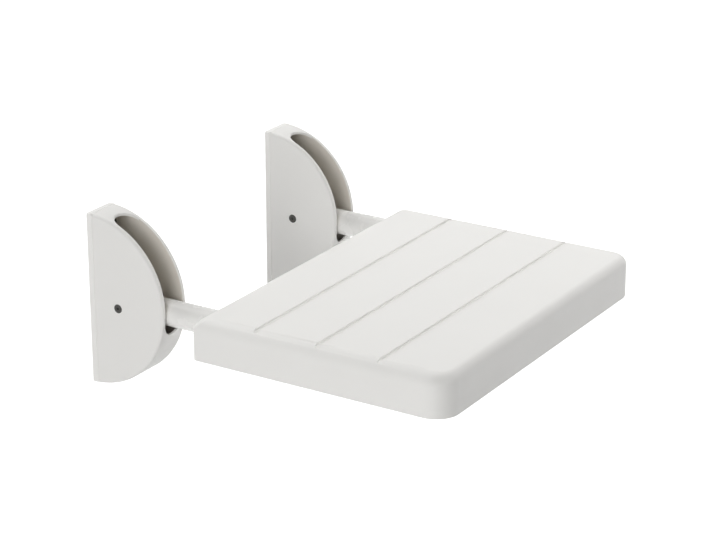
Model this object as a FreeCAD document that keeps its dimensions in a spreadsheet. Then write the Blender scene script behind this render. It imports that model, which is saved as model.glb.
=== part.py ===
"""Fold down wall seat: two D-shaped wall brackets, two tube arms and a moulded seat shell.

Millimetres. X runs along the wall, to the right seen from the front. The wall is the plane Y = 0 and
the seat stands out from it towards -Y. Z is up. The origin lies on the wall, midway between the
brackets and at the centre of their height. A distance called "out" is measured from the wall.
"""
import FreeCAD, Part
import math
import os
import sys
from types import SimpleNamespace

import Sketcher

DIMENSIONS = {
    # wall brackets
    "arm_inset": 43.0,            # from the seat's side to the middle of the arm and bracket
    "bracket_width": 44.0,        # outside of one cover cheek to the other
    "bracket_radius": 101.0,      # of the cover's D, round a centre on the wall
    "wall_plate_thickness": 7.0,
    "wall_plate_corner": 1.5,
    "wall_plate_edge": 0.8,       # chamfer round the plate's front edge
    "cover_wall": 3.0,
    "cover_edge": 2.2,            # chamfer between cheek and curved front
    "cover_back_edge": 0.7,       # chamfer that leaves a fine line beside the wall plate
    "slot_gap": 0.7,              # between the arm and each side of the slot
    "slot_drop": 11.0,            # centre of the slot's round lower end, below the axle
    "wall_hole_radius": 4.2,
    "wall_hole_spacing": 150.0,   # between the two holes of one bracket
    # steel frame inside each bracket
    "frame_gauge": 3.0,
    "frame_bend": 2.2,            # rounding of the channel's long bends
    "frame_gap": 0.05,            # between a lug and the cover's cheek
    "frame_height": 172.0,
    "lug_nose": 19.0,             # radius of the lug round the axle
    "lug_root": 58.0,             # half height of the lug at the back plate
    # pivot
    "pivot_out": 39.0,
    "pivot_drop": 4.5,            # axle below the bracket's centre
    "fold_angle": 88.0,           # degrees from seat down to seat up
    "axle_radius": 6.0,
    "axle_fit": 0.03,             # radial, axle in the lugs
    "tapped_depth": 12.0,
    "screw_radius": 2.5,
    "screw_fit": 0.05,            # radial, screw in its tapped hole
    "screw_head_radius": 4.6,
    "screw_length": 10.0,
    "countersink_gap": 0.15,      # round the screw head
    "bush_wall": 2.0,
    "bush_fit": 0.05,             # radial, bush on the axle
    "bush_seat": 0.02,            # radial, bush in the hub
    "washer_radius": 14.0,
    "washer_thickness": 2.0,
    "running_gap": 0.3,           # between washer and hub, heel and stop pad
    # hub
    "hub_eye": 18.0,
    "hub_reach": 29.0,            # from the axle to the shoulder that the tube meets
    "heel_width": 18.0,
    "heel_top": 16.0,             # below the axle
    "heel_height": 22.0,
    "heel_depth": 9.0,
    "stop_pad_thickness": 6.0,
    "stop_pad_edge": 1.2,
    "stop_pad_margin": 1.5,       # pad beyond the heel on each side
    # tubes
    "arm_radius": 15.0,
    "arm_wall": 2.5,
    "spigot_length": 34.0,
    "spigot_fit": 0.05,
    "cross_radius": 12.5,
    "cross_wall": 2.0,
    "weld_gap": 0.05,             # between a coped end and the arm
    "front_end_clearance": 29.0,  # from the seat's front face to the arm's end
    "plug_cap": 3.0,              # how far the plug stands out of the tube
    "plug_depth": 14.0,
    # seat shell
    "seat_width": 438.0,
    "seat_depth": 316.0,
    "seat_front_out": 470.0,
    "seat_height": 49.0,
    "seat_top": 16.0,             # above the bracket's centre
    "seat_wall": 4.0,
    "seat_corner": 28.0,          # front corners in plan
    "seat_rear_corner": 6.0,      # rear corners in plan
    "seat_edge": 14.0,            # rounding of the top edge
    "seat_inner_edge": 7.0,       # chamfer inside it, which keeps the wall about even
    "groove_pitch": 77.0,
    "groove_shift": 4.0,          # middle groove behind the seat's middle
    "groove_radius": 2.1,
    "groove_depth": 2.4,
    "rib_thickness": 2.5,
    "rib_depth": 26.0,            # below the top's underside
    "saddle_gap": 0.3,            # between a rib's saddle and the tube in it
    "boss_width": 11.0,
    "boss_offset": 22.5,          # from the arm's centre line
    # clamps
    "clamp_wall": 3.5,
    "clamp_fit": 0.1,
    "clamp_length": 22.0,
    "ear_thickness": 4.0,
    "ear_end": 7.0,               # from the screw to the ear's end
    "ear_corner": 3.0,
    "clamp_head_flats": 8.0,      # screw head, across its flats
    "clamp_head_height": 3.0,
}

UP = FreeCAD.Vector(0, 0, 1)
X_DIRECTION = FreeCAD.Vector(1, 0, 0)
Y_DIRECTION = FreeCAD.Vector(0, 1, 0)
TINY = 1e-4
SIDES = {"left": -1, "right": 1}
GROOVES = 3
CROSSWISE_RIBS = 7
LENGTHWISE_RIBS = 3


class Size:
    """A number together with the sheet formula that gives it."""

    def __init__(self, value, formula):
        self.value = value
        self.formula = formula

    def __add__(self, other):
        return Size(self.value + number(other), "(%s + %s)" % (self.formula, formula(other)))

    def __radd__(self, other):
        return self + other

    def __sub__(self, other):
        return Size(self.value - number(other), "(%s - %s)" % (self.formula, formula(other)))

    def __rsub__(self, other):
        return -self + other

    def __mul__(self, other):
        return Size(self.value * number(other), "(%s * %s)" % (self.formula, formula(other)))

    def __rmul__(self, other):
        return self * other

    def __truediv__(self, other):
        return Size(self.value / number(other), "(%s / %s)" % (self.formula, formula(other)))

    def __neg__(self):
        return Size(-self.value, "(-1 * %s)" % self.formula)


def number(size):
    return size.value if isinstance(size, Size) else float(size)


def formula(size):
    return size.formula if isinstance(size, Size) else "(%s)" % float(size)


def tangent(angle):
    return Size(math.tan(math.radians(angle.value)), "tan(%s)" % angle.formula)


def root(size):
    return Size(math.sqrt(size.value), "sqrt(%s)" % size.formula)


doc = FreeCAD.newDocument("FoldDownWallSeat")
sheet = doc.addObject("Spreadsheet::Sheet", "Sizes")
for row, (name, value) in enumerate(DIMENSIONS.items(), start=1):
    sheet.set("A%d" % row, name)
    sheet.set("B%d" % row, str(value))
    sheet.setAlias("B%d" % row, name)
doc.recompute()
d = SimpleNamespace(**{name: Size(value, "Sizes." + name) for name, value in DIMENSIONS.items()})

# Places that several pieces share
pivot_height = -d.pivot_drop
arm_height = pivot_height
half_spacing = d.seat_width / 2 - d.arm_inset
frame_width = d.bracket_width - 2 * (d.cover_wall + d.frame_gap)
lug_gap = frame_width - 2 * d.frame_gauge
hub_width = lug_gap - 2 * (d.washer_thickness + d.running_gap)
frame_front = d.wall_plate_thickness + d.frame_gauge
heel_out = frame_front + d.stop_pad_thickness + d.running_gap
hub_shoulder = d.pivot_out + d.hub_reach
slot_half_width = d.arm_radius + d.slot_gap
slot_top_out = d.pivot_out + (d.bracket_radius + d.pivot_drop) / tangent(d.fold_angle)
arm_end = d.seat_front_out - d.front_end_clearance
arm_bore = d.arm_radius - d.arm_wall
seat_bottom = d.seat_top - d.seat_height
middle_groove_out = d.seat_front_out - d.seat_depth / 2 - d.groove_shift
seat_underside = d.seat_top - d.seat_wall
rib_bottom = seat_underside - d.rib_depth
rib_pitch_along = d.groove_pitch / 2
rib_pitch_across = half_spacing * 0.4
rear_cross_out = middle_groove_out - d.groove_pitch * 1.25
front_cross_out = middle_groove_out + d.groove_pitch * 1.25
rear_clamp_out = middle_groove_out - d.groove_pitch * 0.75
front_clamp_out = middle_groove_out + d.groove_pitch * 0.75


def bind(item, path, size):
    """Give a property its size, and its formula where it has one."""
    if isinstance(size, Size):
        item.setExpression(path, size.formula)
    else:
        setattr(item, path, size)


def new_body(label, x=0):
    body = doc.addObject("PartDesign::Body", label)
    body.Label = label
    if isinstance(x, Size):
        body.setExpression("Placement.Base.x", x.formula)
    return body


def origin_feature(body, role):
    return next(item for item in body.Origin.OriginFeatures if item.Role == role)


def new_sketch(body, plane, offset=0):
    """A sketch on one of the body's own planes. XZ faces away from the wall, so offset counts outwards."""
    sketch = body.newObject("Sketcher::SketchObject", body.Name + "_sketch")
    sketch.AttachmentSupport = [(origin_feature(body, plane), "")]
    sketch.MapMode = "FlatFace"
    if isinstance(offset, Size):
        sketch.setExpression("AttachmentOffset.Base.z", offset.formula)
    return sketch


def hold(sketch, constraint, size):
    """Add a dimension to a sketch and tie it to its formula."""
    index = sketch.addConstraint(constraint)
    if isinstance(size, Size):
        sketch.setExpression("Constraints[%d]" % index, size.formula)


def hold_point(sketch, geometry, point, x, y):
    """Fix one point of the geometry at x, y from the sketch's origin."""
    for kind, axis, size in (("DistanceX", -2, x), ("DistanceY", -1, y)):
        if isinstance(size, Size):
            hold(sketch, Sketcher.Constraint(kind, -1, 1, geometry, point, size.value), size)
        else:
            sketch.addConstraint(Sketcher.Constraint("PointOnObject", geometry, point, axis))


def flat_point(x, y):
    return FreeCAD.Vector(number(x), number(y), 0)


def draw_circle(sketch, x, y, radius):
    index = sketch.addGeometry(Part.Circle(flat_point(x, y), UP, number(radius)), False)
    hold(sketch, Sketcher.Constraint("Radius", index, number(radius)), radius)
    hold_point(sketch, index, 3, x, y)


def draw_polygon(sketch, corners):
    """A closed outline of straight lines with every corner held at its place."""
    first = len(sketch.Geometry)
    count = len(corners)
    for index, corner in enumerate(corners):
        following = corners[(index + 1) % count]
        sketch.addGeometry(Part.LineSegment(flat_point(*corner), flat_point(*following)), False)
    for index in range(count):
        after = first + (index + 1) % count
        sketch.addConstraint(Sketcher.Constraint("Coincident", first + index, 2, after, 1))
    for index, (x, y) in enumerate(corners):
        hold_point(sketch, first + index, 1, x, y)


def draw_rectangle(sketch, left, bottom, right, top):
    draw_polygon(sketch, [(left, bottom), (right, bottom), (right, top), (left, top)])


def draw_hexagon(sketch, x, y, apothem):
    """A hexagon with two corners on the line through its centre along the sketch's x axis."""
    corner = apothem * (2 / math.sqrt(3))
    draw_polygon(sketch, [
        (x + corner, y),
        (x + corner / 2, y + apothem),
        (x - corner / 2, y + apothem),
        (x - corner, y),
        (x - corner / 2, y - apothem),
        (x + corner / 2, y - apothem),
    ])


def draw_half_disc(sketch, flat, radius):
    """The D: flat side at x = flat, its arc towards -x, centre on the sketch's x axis."""
    quarter = math.pi / 2
    circle = Part.Circle(flat_point(flat, 0), UP, number(radius))
    arc = sketch.addGeometry(Part.ArcOfCircle(circle, quarter, 3 * quarter), False)
    side = sketch.addGeometry(Part.LineSegment(flat_point(flat, -radius), flat_point(flat, radius)), False)
    sketch.addConstraint(Sketcher.Constraint("Coincident", arc, 2, side, 1))
    sketch.addConstraint(Sketcher.Constraint("Coincident", side, 2, arc, 1))
    sketch.addConstraint(Sketcher.Constraint("Vertical", side))
    sketch.addConstraint(Sketcher.Constraint("PointOnObject", arc, 3, side))
    hold(sketch, Sketcher.Constraint("Radius", arc, number(radius)), radius)
    hold_point(sketch, arc, 3, flat, 0)


def pad(body, sketch, length, symmetric=False):
    feature = body.newObject("PartDesign::Pad", body.Name + "_pad")
    feature.Profile = sketch
    feature.SideType = "Symmetric" if symmetric else "One side"
    bind(feature, "Length", length)
    doc.recompute()
    return feature


def pocket(body, sketch, length=None, symmetric=False, reverse=False):
    """Cut a sketch away: by a length, or through everything both ways. It must remove something."""
    before = body.Shape.Volume
    feature = body.newObject("PartDesign::Pocket", body.Name + "_pocket")
    feature.Profile = sketch
    feature.Reversed = reverse
    if length is None:
        feature.Type = "ThroughAll"
        feature.SideType = "One side" if reverse else "Symmetric"
    else:
        feature.SideType = "Symmetric" if symmetric else "One side"
        bind(feature, "Length", length)
    doc.recompute()
    if not feature.Shape.Volume < before - TINY:
        sys.exit("%s cuts nothing" % feature.Name)
    return feature


def edge_names(feature, test):
    return ["Edge%d" % index for index, edge in enumerate(feature.Shape.Edges, start=1) if test(edge)]


def dress(body, kind, feature, test, radius):
    """Round or chamfer the edges of a feature that pass the test."""
    names = edge_names(feature, test)
    if not names:
        sys.exit("%s has no edge to dress" % feature.Name)
    dressing = body.newObject("PartDesign::" + kind, "%s_%s" % (body.Name, kind.lower()))
    dressing.Base = (feature, names)
    bind(dressing, "Radius" if kind == "Fillet" else "Size", radius)
    doc.recompute()
    return dressing


def straight_along(edge, direction):
    if edge.Curve.TypeId != "Part::GeomLine":
        return False
    return abs(abs(edge.tangentAt(edge.FirstParameter).dot(direction)) - 1) < TINY


def lies_at(edge, axis, place):
    """True where the whole edge lies in the plane axis = place, with axis 0, 1 or 2."""
    box = edge.BoundBox
    low = (box.XMin, box.YMin, box.ZMin)[axis]
    high = (box.XMax, box.YMax, box.ZMax)[axis]
    return abs(low - number(place)) < TINY * 10 and abs(high - number(place)) < TINY * 10


def is_round(edge, radius):
    return hasattr(edge.Curve, "Radius") and abs(edge.Curve.Radius - number(radius)) < TINY


def revolve(body, sketch, axis):
    feature = body.newObject("PartDesign::Revolution", body.Name + "_revolution")
    feature.Profile = sketch
    feature.ReferenceAxis = (sketch, [axis])
    feature.Angle = 360
    doc.recompute()
    return feature


def turned_about_pivot(label, x, profile):
    """A part turned about the axle: profile corners are (along the axle, radius)."""
    body = new_body(label, x)
    bind(body, "Placement.Base.y", -d.pivot_out)
    bind(body, "Placement.Base.z", pivot_height)
    sketch = new_sketch(body, "XY_Plane")
    draw_polygon(sketch, profile)
    revolve(body, sketch, "H_Axis")
    return body


def group(label, solids):
    """Separate solids of one kind of hardware, as one node."""
    together = doc.addObject("Part::Compound", label)
    together.Links = solids
    together.Label = label
    doc.recompute()
    return together


def mirrored(item, centre=None):
    """The mirror image of a part about x = centre, or about the middle of the seat."""
    mirror = doc.addObject("Part::Mirroring", item.Name + "_mirrored")
    mirror.Source = item
    mirror.Normal = X_DIRECTION
    if centre is not None:
        mirror.setExpression("Base.x", centre.formula)
    return mirror


def one_per_cheek(label, body):
    """A part of the right bracket, its twin in the other cheek, and the same two in the left bracket."""
    pair = group(label + "_right", [body, mirrored(body, half_spacing)])
    return group(label, [pair, mirrored(pair)])


def make_wall_plate(label, x):
    """Moulded plate behind the cover, with its two screw holes."""
    body = new_body(label, x)
    outline = new_sketch(body, "XZ_Plane")
    half = d.bracket_width / 2
    draw_rectangle(outline, -half, -d.bracket_radius, half, d.bracket_radius)
    plate = pad(body, outline, d.wall_plate_thickness)
    cornered = dress(body, "Chamfer", plate, lambda e: straight_along(e, Y_DIRECTION), d.wall_plate_corner)
    front = -d.wall_plate_thickness
    dress(body, "Chamfer", cornered, lambda e: lies_at(e, 1, front), d.wall_plate_edge)
    holes = new_sketch(body, "XZ_Plane")
    for height in (-d.wall_hole_spacing / 2, d.wall_hole_spacing / 2):
        draw_circle(holes, 0, height, d.wall_hole_radius)
    pocket(body, holes)
    return body


def make_bracket_frame(label, x):
    """Steel channel: back plate, two lugs with round noses, and the holes for axle and wall screws."""
    body = new_body(label, x)
    half = frame_width / 2
    back = new_sketch(body, "XZ_Plane", d.wall_plate_thickness)
    draw_rectangle(back, -half, -d.frame_height / 2, half, d.frame_height / 2)
    pad(body, back, d.frame_gauge)

    nose = new_sketch(body, "YZ_Plane")
    draw_circle(nose, -d.pivot_out, pivot_height, d.lug_nose)
    pad(body, nose, frame_width, symmetric=True)

    # each sloping side is tangent to the nose, seen from the lug's root on the back plate
    reach = d.pivot_out - frame_front
    far = reach * reach + d.lug_root * d.lug_root
    slope = d.lug_nose * root(far - d.lug_nose * d.lug_nose)
    along = (d.lug_nose * d.lug_nose * reach - slope * d.lug_root) / far
    across = (d.lug_nose * d.lug_nose * d.lug_root + slope * reach) / far
    touch_out = d.pivot_out - along
    lug = new_sketch(body, "YZ_Plane")
    draw_polygon(lug, [
        (-frame_front, pivot_height - d.lug_root),
        (-touch_out, pivot_height - across),
        (-touch_out, pivot_height + across),
        (-frame_front, pivot_height + d.lug_root),
        (-d.wall_plate_thickness, pivot_height + d.lug_root),
        (-d.wall_plate_thickness, pivot_height - d.lug_root),
    ])
    solid = pad(body, lug, frame_width, symmetric=True)
    bend = lambda e: straight_along(e, UP) and lies_at(e, 1, -d.wall_plate_thickness)
    dress(body, "Fillet", solid, bend, d.frame_bend)

    channel = new_sketch(body, "XZ_Plane", frame_front)
    draw_rectangle(channel, -lug_gap / 2, -d.bracket_radius, lug_gap / 2, d.bracket_radius)
    pocket(body, channel, reverse=True)

    axle_hole = new_sketch(body, "YZ_Plane")
    draw_circle(axle_hole, -d.pivot_out, pivot_height, d.axle_radius + d.axle_fit)
    pocket(body, axle_hole)

    holes = new_sketch(body, "XZ_Plane")
    for height in (-d.wall_hole_spacing / 2, d.wall_hole_spacing / 2):
        draw_circle(holes, 0, height, d.wall_hole_radius)
    pocket(body, holes)
    return body


def stop_pad_height():
    """Height of the heel's middle, where the stop pad sits."""
    return pivot_height - d.heel_top - d.heel_height / 2


def make_cover(label, x):
    """Moulded D: thin walls, open at the back, with the slot that the arm swings through."""
    body = new_body(label, x)
    half = d.bracket_width / 2
    outline = new_sketch(body, "YZ_Plane")
    draw_half_disc(outline, 0, d.bracket_radius)
    pad(body, outline, d.bracket_width, symmetric=True)
    behind = new_sketch(body, "YZ_Plane")
    beyond = d.bracket_radius + d.cover_wall
    draw_rectangle(behind, -d.wall_plate_thickness, -beyond, d.cover_wall, beyond)
    trimmed = pocket(body, behind, 2 * d.bracket_width, symmetric=True)
    rim = lambda e: is_round(e, d.bracket_radius)
    edged = dress(body, "Chamfer", trimmed, rim, d.cover_edge)
    back = lambda e: lies_at(e, 1, -d.wall_plate_thickness)
    dress(body, "Chamfer", edged, back, d.cover_back_edge)

    hollow = new_sketch(body, "YZ_Plane")
    draw_half_disc(hollow, 0, d.bracket_radius - d.cover_wall)
    pocket(body, hollow, d.bracket_width - 2 * d.cover_wall, symmetric=True)

    # the slot: its straight part and round lower end from the front, its round upper end from above
    lower_end = pivot_height - d.slot_drop
    front = new_sketch(body, "XZ_Plane", slot_top_out)
    draw_rectangle(front, -slot_half_width, lower_end, slot_half_width, d.bracket_radius)
    pocket(body, front, reverse=True)
    round_end = new_sketch(body, "XZ_Plane", slot_top_out)
    draw_circle(round_end, 0, lower_end, slot_half_width)
    pocket(body, round_end, reverse=True)
    top = new_sketch(body, "XY_Plane")
    draw_circle(top, 0, -slot_top_out, slot_half_width)
    pocket(body, top, reverse=True)

    screw_hole = new_sketch(body, "YZ_Plane")
    draw_circle(screw_hole, -d.pivot_out, pivot_height, d.screw_radius + d.countersink_gap)
    pocket(body, screw_hole)
    countersink(body, half)
    return body


def countersink(body, half):
    """Cone in the outside of both cheeks for the axle screws' heads."""
    depth = d.screw_head_radius - d.screw_radius
    wide = d.screw_head_radius + d.countersink_gap
    narrow = d.screw_radius + d.countersink_gap
    for side in SIDES.values():
        sketch = new_sketch(body, "XY_Plane", pivot_height)
        outside = half * side
        draw_polygon(sketch, [
            (outside, -d.pivot_out),
            (outside, wide - d.pivot_out),
            ((half - depth) * side, narrow - d.pivot_out),
            ((half - depth) * side, -d.pivot_out),
        ])
        before = body.Shape.Volume
        groove = body.newObject("PartDesign::Groove", body.Name + "_countersink")
        groove.Profile = sketch
        groove.ReferenceAxis = (sketch, ["Edge4"])
        groove.Angle = 360
        doc.recompute()
        if not groove.Shape.Volume < before - TINY:
            sys.exit("%s cuts nothing" % groove.Name)


def make_axles(label):
    """Plain steel pins from lug to lug, tapped at both ends for the screws."""
    half = frame_width / 2
    bore = d.screw_radius + d.screw_fit
    tap_end = half - d.tapped_depth
    body = turned_about_pivot(label + "_one", half_spacing, [
        (-half, bore),
        (-half, d.axle_radius),
        (half, d.axle_radius),
        (half, bore),
        (tap_end, bore),
        (tap_end, 0),
        (-tap_end, 0),
        (-tap_end, bore),
    ])
    return group(label, [body, mirrored(body)])


def make_axle_screws(label):
    """Countersunk screws, one for each end of each axle."""
    half = d.bracket_width / 2
    head = d.screw_head_radius - d.screw_radius
    body = turned_about_pivot(label + "_one", half_spacing, [
        (half, 0),
        (half, d.screw_head_radius),
        (half - head, d.screw_radius),
        (half - d.screw_length, d.screw_radius),
        (half - d.screw_length, 0),
    ])
    return one_per_cheek(label, body)


def make_bushes(label):
    """Plain bush pressed into each hub's eye."""
    bore = d.axle_radius + d.bush_fit
    face = hub_width / 2
    body = turned_about_pivot(label + "_one", half_spacing, [
        (-face, bore),
        (-face, bore + d.bush_wall),
        (face, bore + d.bush_wall),
        (face, bore),
    ])
    return group(label, [body, mirrored(body)])


def make_friction_washers(label):
    """Washers against the inside of each lug."""
    bore = d.axle_radius + d.bush_fit
    face = lug_gap / 2
    body = turned_about_pivot(label + "_one", half_spacing, [
        (face - d.washer_thickness, bore),
        (face - d.washer_thickness, d.washer_radius),
        (face, d.washer_radius),
        (face, bore),
    ])
    return one_per_cheek(label, body)


def make_stop_pads(label):
    """Rubber block bonded to each back plate."""
    body = new_body(label + "_one", half_spacing)
    half = d.heel_width / 2 + d.stop_pad_margin
    tall = d.heel_height / 2 + d.stop_pad_margin
    middle = stop_pad_height()
    block = new_sketch(body, "XZ_Plane", frame_front)
    draw_rectangle(block, -half, middle - tall, half, middle + tall)
    solid = pad(body, block, d.stop_pad_thickness)
    front = -frame_front - d.stop_pad_thickness
    dress(body, "Chamfer", solid, lambda e: lies_at(e, 1, front), d.stop_pad_edge)
    return group(label, [body, mirrored(body)])


def make_hubs(label):
    """Cast end of each arm: eye with flat cheeks, heel that meets the stop pad, and the tube's spigot."""
    body = new_body(label + "_one", half_spacing)
    wide = d.arm_radius + d.hub_eye
    neck = new_sketch(body, "XZ_Plane", d.pivot_out)
    draw_circle(neck, 0, arm_height, d.arm_radius)
    solid = pad(body, neck, d.hub_reach)
    flats = new_sketch(body, "XZ_Plane", d.pivot_out)
    for side in SIDES.values():
        edge = hub_width / 2 * side
        draw_rectangle(flats, edge, arm_height - wide, wide * side, arm_height + wide)
    pocket(body, flats)
    eye = new_sketch(body, "YZ_Plane")
    draw_circle(eye, -d.pivot_out, pivot_height, d.hub_eye)
    pad(body, eye, hub_width, symmetric=True)

    heel = new_sketch(body, "YZ_Plane")
    heel_high = pivot_height - d.heel_top
    heel_low = heel_high - d.heel_height
    draw_polygon(heel, [
        (-heel_out, heel_high),
        (-heel_out, heel_low),
        (-heel_out - d.heel_depth, heel_low),
        (-d.pivot_out - d.hub_eye / 2, pivot_height - d.hub_eye / 2),
        (-d.pivot_out + d.hub_eye / 2, pivot_height),
    ])
    solid = pad(body, heel, d.heel_width, symmetric=True)
    low_edges = lambda e: straight_along(e, X_DIRECTION) and e.BoundBox.ZMax < heel_low.value + TINY
    dress(body, "Chamfer", solid, low_edges, d.heel_depth / 4)

    spigot = new_sketch(body, "XZ_Plane", hub_shoulder)
    draw_circle(spigot, 0, arm_height, arm_bore - d.spigot_fit)
    pad(body, spigot, d.spigot_length)

    bore = new_sketch(body, "YZ_Plane")
    draw_circle(bore, -d.pivot_out, pivot_height, d.axle_radius + d.bush_fit + d.bush_wall + d.bush_seat)
    pocket(body, bore)
    return group(label, [body, mirrored(body)])


def make_arm(label, x):
    """Round tube from the hub's shoulder to just behind the seat's front."""
    body = new_body(label, x)
    ring = new_sketch(body, "XZ_Plane", hub_shoulder)
    draw_circle(ring, 0, arm_height, d.arm_radius)
    draw_circle(ring, 0, arm_height, arm_bore)
    pad(body, ring, arm_end - hub_shoulder)
    return body


def make_end_plugs(label):
    """Moulded plug pushed into each arm's front end until a rim of it stands out."""
    body = new_body(label + "_one", half_spacing)
    stem = new_sketch(body, "XZ_Plane", arm_end - d.plug_depth)
    draw_circle(stem, 0, arm_height, arm_bore - d.spigot_fit)
    pad(body, stem, d.plug_depth + d.plug_cap)
    return group(label, [body, mirrored(body)])


def make_cross_tube(label, out):
    """Tube between the arms, with its ends coped to the arms' round."""
    body = new_body(label)
    ring = new_sketch(body, "YZ_Plane")
    draw_circle(ring, -out, arm_height, d.cross_radius)
    draw_circle(ring, -out, arm_height, d.cross_radius - d.cross_wall)
    pad(body, ring, 2 * half_spacing, symmetric=True)
    cope = new_sketch(body, "XZ_Plane")
    for side in SIDES.values():
        draw_circle(cope, half_spacing * side, arm_height, d.arm_radius + d.weld_gap)
    pocket(body, cope)
    return body


def round_upright_edges(body, feature, y, radius):
    """Round the two upright edges of a block at the given y."""
    return dress(body, "Fillet", feature, lambda e: straight_along(e, UP) and lies_at(e, 1, y), radius)


def make_seat_core():
    """The hollow under the seat, as the mould's core: a slot or square hole in it leaves a rib or a boss."""
    body = new_body("seat_core")
    half = d.seat_width / 2 - d.seat_wall
    front = -d.seat_front_out + d.seat_wall
    rear = -d.seat_front_out + d.seat_depth - d.seat_wall
    outline = new_sketch(body, "XY_Plane", seat_bottom)
    draw_rectangle(outline, -half, front, half, rear)
    block = pad(body, outline, d.seat_height - d.seat_wall)
    corners = round_upright_edges(body, block, front, d.seat_corner - d.seat_wall)
    top = lambda e: lies_at(e, 2, seat_underside)
    dress(body, "Chamfer", corners, top, d.seat_inner_edge)

    beyond = d.seat_width
    thick = d.rib_thickness / 2
    sideways = origin_feature(body, "X_Axis")
    outwards = origin_feature(body, "Y_Axis")
    rows_of_ribs = (
        (CROSSWISE_RIBS, rib_pitch_along, outwards),
        (LENGTHWISE_RIBS, rib_pitch_across, sideways),
    )
    for count, pitch, axis in rows_of_ribs:
        slot = new_sketch(body, "XY_Plane", rib_bottom)
        first = pitch * (count - 1) / 2
        if axis is outwards:
            middle = -middle_groove_out - first
            draw_rectangle(slot, -beyond, middle - thick, beyond, middle + thick)
        else:
            draw_rectangle(slot, -first - thick, -2 * beyond, -first + thick, beyond)
        cut = pocket(body, slot, reverse=True)
        rows = body.newObject("PartDesign::LinearPattern", body.Name + "_ribs")
        rows.Originals = [cut]
        rows.Direction = (axis, [""])
        rows.Mode = "Spacing"
        bind(rows, "Offset", pitch)
        rows.Occurrences = count
        body.Tip = rows
        doc.recompute()

    bosses = new_sketch(body, "XY_Plane", arm_height)
    half = d.boss_width / 2
    for x, y in clamp_screw_places():
        draw_rectangle(bosses, x - half, y - half, x + half, y + half)
    pocket(body, bosses, reverse=True)
    return body


def clamp_screw_places():
    """Plan position of every clamp screw and its boss."""
    places = []
    for side in SIDES.values():
        for out in (rear_clamp_out, front_clamp_out):
            for hand in (-1, 1):
                places.append((half_spacing * side + d.boss_offset * hand, -out))
    return places


def make_seat_shell():
    """Moulded seat: rounded block, hollowed by the core, with grooves and tube notches."""
    core = make_seat_core()
    body = new_body("seat_shell")
    half = d.seat_width / 2
    front = -d.seat_front_out
    rear = front + d.seat_depth
    outline = new_sketch(body, "XY_Plane", seat_bottom)
    draw_rectangle(outline, -half, front, half, rear)
    block = pad(body, outline, d.seat_height)
    corners = round_upright_edges(body, block, front, d.seat_corner)
    corners = round_upright_edges(body, corners, rear, d.seat_rear_corner)
    dress(body, "Fillet", corners, lambda e: lies_at(e, 2, d.seat_top), d.seat_edge)

    hollow = body.newObject("PartDesign::Boolean", "seat_hollow")
    hollow.Type = "Cut"
    hollow.setObjects([core])
    body.Tip = hollow
    doc.recompute()

    grooves = new_sketch(body, "YZ_Plane")
    for index in range(GROOVES):
        out = middle_groove_out + d.groove_pitch * (index - (GROOVES - 1) / 2)
        draw_circle(grooves, -out, d.seat_top - d.groove_depth + d.groove_radius, d.groove_radius)
    pocket(body, grooves)

    # notches for the arms, from behind the rear skirt to past the plugs, open downwards
    reach = arm_end + d.plug_cap + d.saddle_gap
    saddle = d.arm_radius + d.saddle_gap
    for side in SIDES.values():
        middle = half_spacing * side
        notch = new_sketch(body, "XZ_Plane")
        draw_circle(notch, middle, arm_height, saddle)
        pocket(body, notch, reach, reverse=True)
        notch = new_sketch(body, "XZ_Plane")
        draw_rectangle(notch, middle - saddle, 2 * seat_bottom, middle + saddle, arm_height)
        pocket(body, notch, reach, reverse=True)

    # notches for the cross tubes, from arm to arm
    saddle = d.cross_radius + d.saddle_gap
    for out in (rear_cross_out, front_cross_out):
        notch = new_sketch(body, "YZ_Plane")
        draw_circle(notch, -out, arm_height, saddle)
        pocket(body, notch, 2 * half_spacing, symmetric=True)
        notch = new_sketch(body, "YZ_Plane")
        draw_rectangle(notch, -out - saddle, 2 * seat_bottom, -out + saddle, arm_height)
        pocket(body, notch, 2 * half_spacing, symmetric=True)
    return body


def make_clamp(label, out):
    """Saddle clamp: half ring under the arm and two ears that meet the shell's bosses."""
    body = new_body(label, half_spacing)
    length = d.clamp_length
    start = out - length / 2
    reach = d.boss_offset + d.ear_end
    ears = new_sketch(body, "XZ_Plane", start)
    draw_rectangle(ears, -reach, arm_height - d.ear_thickness, reach, arm_height)
    solid = pad(body, ears, length)
    dress(body, "Chamfer", solid, lambda e: straight_along(e, UP), d.ear_corner)
    ring = new_sketch(body, "XZ_Plane", start)
    outer = d.arm_radius + d.clamp_fit + d.clamp_wall
    draw_circle(ring, 0, arm_height, outer)
    pad(body, ring, length)
    upper = new_sketch(body, "XZ_Plane")
    draw_rectangle(upper, -2 * reach, arm_height, 2 * reach, arm_height + 2 * outer)
    pocket(body, upper)
    bore = new_sketch(body, "XZ_Plane")
    draw_circle(bore, 0, arm_height, d.arm_radius + d.clamp_fit)
    pocket(body, bore)
    heads = new_sketch(body, "XY_Plane", arm_height - d.ear_thickness - d.clamp_head_height)
    for hand in (-1, 1):
        draw_hexagon(heads, d.boss_offset * hand, -out, d.clamp_head_flats / 2)
    pad(body, heads, d.clamp_head_height + d.ear_thickness / 2)
    return body


def make_clamps(label):
    """Two clamps on each arm."""
    pair = group(label + "_right", [
        make_clamp(label + "_rear", rear_clamp_out),
        make_clamp(label + "_front", front_clamp_out),
    ])
    return group(label, [pair, mirrored(pair)])


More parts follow.
